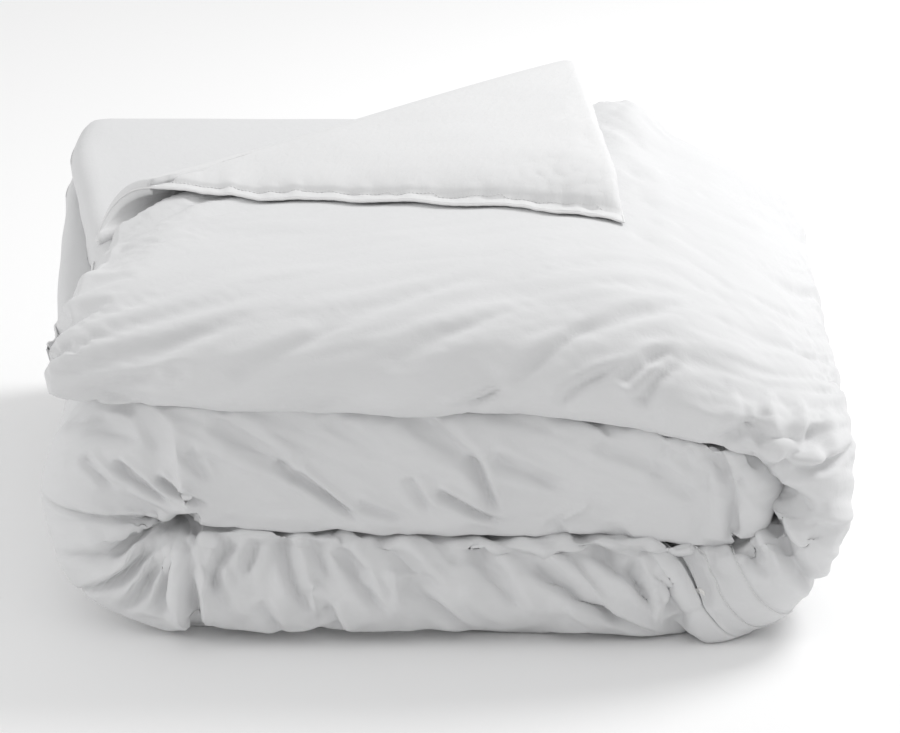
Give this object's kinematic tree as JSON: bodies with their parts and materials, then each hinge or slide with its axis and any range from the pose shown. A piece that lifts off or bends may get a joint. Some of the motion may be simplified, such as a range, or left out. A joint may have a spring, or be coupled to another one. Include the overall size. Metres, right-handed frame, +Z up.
{
  "type": "folded duvet",
  "caption": "Puffy duvet in a plain buttoned cover, folded in thirds both ways into a stack of laps, its top corner turned back.",
  "frame": {"origin": "under the middle of the folded pack, at the level it lies on", "axes": "+X along the pack from its left fold to its right fold, -Y its front with the rounded folds, +Z up"},
  "size_m": [0.78, 0.7043, 0.3543],
  "materials": {
    "cover_cloth": "matte percale",
    "placket_cloth": "matte percale",
    "seam_cloth": "rolled seam",
    "duvet_casing": "fine downproof weave",
    "filling": "loose fibre",
    "tape": "woven tape",
    "button": "satin",
    "label_cloth": "satin ribbon"
  },
  "bodies": {
    "lower_laps": {"baffles_bottom_lap": "duvet_casing", "baffles_middle_lap": "duvet_casing", "care_label": "label_cloth", "closure_buttons": "button", "closure_lower_placket": "placket_cloth", "closure_upper_placket": "placket_cloth", "cover_bottom_lap": "cover_cloth", "cover_left_fold": "cover_cloth", "cover_middle_lap": "cover_cloth", "cover_ties_middle_lap": "tape", "duvet_loops_middle_lap": "tape", "duvet_shell_bottom_lap": "duvet_casing", "duvet_shell_left_fold": "duvet_casing", "duvet_shell_middle_lap": "duvet_casing", "edge_seam_middle_lap_end": "seam_cloth", "filling_bottom_lap": "filling", "filling_left_fold": "filling", "filling_middle_lap": "filling"},
    "right_fold": {"cover_right_fold": "cover_cloth", "duvet_shell_right_fold": "duvet_casing", "filling_right_fold": "filling"},
    "top_lap": {"baffles_top_lap_lower_plies": "duvet_casing", "cover_tie_top_lap": "tape", "cover_top_lap_lower_plies": "cover_cloth", "cover_top_lap_upper_ply": "cover_cloth", "duvet_loop_top_lap": "tape", "duvet_shell_top_lap_lower_plies": "duvet_casing", "duvet_shell_top_lap_upper_ply": "duvet_casing", "edge_seam_top_lap_end": "seam_cloth", "filling_top_lap_lower_plies": "filling", "filling_top_lap_upper_ply": "filling"},
    "corner_flap": {"cover_turned_corner": "cover_cloth", "duvet_shell_turned_corner": "duvet_casing", "edge_seam_turned_corner": "seam_cloth", "filling_turned_corner": "filling"}
  },
  "joints": [
    {"name": "lower_fold", "type": "hinge", "parent": "lower_laps", "child": "right_fold", "pos_m": [0.351, 0, 0.0633], "axis": [0, 1, 0], "range_deg": [0, 90]},
    {"name": "upper_fold", "type": "hinge", "parent": "right_fold", "child": "top_lap", "pos_m": [0.351, 0, 0.2913], "axis": [0, 1, 0], "range_deg": [0, 90]},
    {"name": "corner_fold", "type": "hinge", "parent": "top_lap", "child": "corner_flap", "pos_m": [-0.352, -0.052, 0.3233], "axis": [-0.7782, -0.628, 0], "range_deg": [0, 180]}
  ],
  "couplings": [
    {"joint": "upper_fold", "follows": "lower_fold", "ratio": 1}
  ]
}
